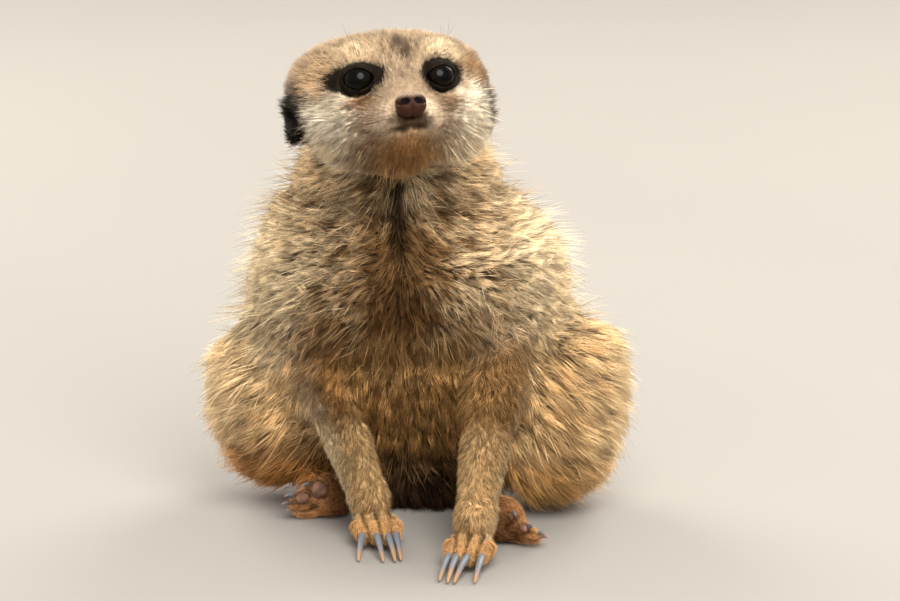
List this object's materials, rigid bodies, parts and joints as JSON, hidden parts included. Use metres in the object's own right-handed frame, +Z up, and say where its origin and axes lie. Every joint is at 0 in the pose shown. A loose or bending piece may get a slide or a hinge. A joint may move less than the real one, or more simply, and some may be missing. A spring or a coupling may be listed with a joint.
{
  "type": "meerkat",
  "caption": "Life-size meerkat sitting on its haunches, forefeet planted before it, head raised, tail laid behind; still museum-style figure.",
  "frame": {"origin": "on the floor under the seat, on the flat that the rump rests on", "axes": "+Z up, the animal faces -Y and its left side is +X; the tail runs back along +Y"},
  "size_m": [0.1635, 0.3454, 0.1981],
  "materials": {
    "coat": "grizzled buff fur, each hair dark at its root, buff above and dark at some tips",
    "dark": "short black-brown fur of the ears and of the tip of the tail",
    "foot": "short rust-orange fur over the feet, with dark bare pads",
    "claw": "horn, blue-grey at the root and tan at the tip, half gloss",
    "nose": "moist dark-brown nose leather",
    "eye": "wet, nearly black brown eye, opaque"
  },
  "bodies": {
    "root": {"head": "coat", "nose": "nose", "eye_right": "eye", "ear_right": "dark", "eye_left": "eye", "ear_left": "dark", "jaw": "coat", "rump": "coat", "belly": "coat", "chest": "coat", "neck": "coat", "thigh_right": "coat", "shank_right": "coat", "thigh_left": "coat", "shank_left": "coat", "upper_arm_right": "coat", "forearm_right": "coat", "forepaw_right": "foot", "foreclaw_right_1": "claw", "foreclaw_right_2": "claw", "foreclaw_right_3": "claw", "foreclaw_right_4": "claw", "upper_arm_left": "coat", "forearm_left": "coat", "forepaw_left": "foot", "foreclaw_left_1": "claw", "foreclaw_left_2": "claw", "foreclaw_left_3": "claw", "foreclaw_left_4": "claw", "hind_foot_right": "foot", "hindclaw_right_1": "claw", "hindclaw_right_2": "claw", "hindclaw_right_3": "claw", "hindclaw_right_4": "claw", "hind_foot_left": "foot", "hindclaw_left_1": "claw", "hindclaw_left_2": "claw", "hindclaw_left_3": "claw", "hindclaw_left_4": "claw", "tail_root": "coat", "tail_middle": "coat", "tail_tip": "dark"}
  },
  "joints": []
}
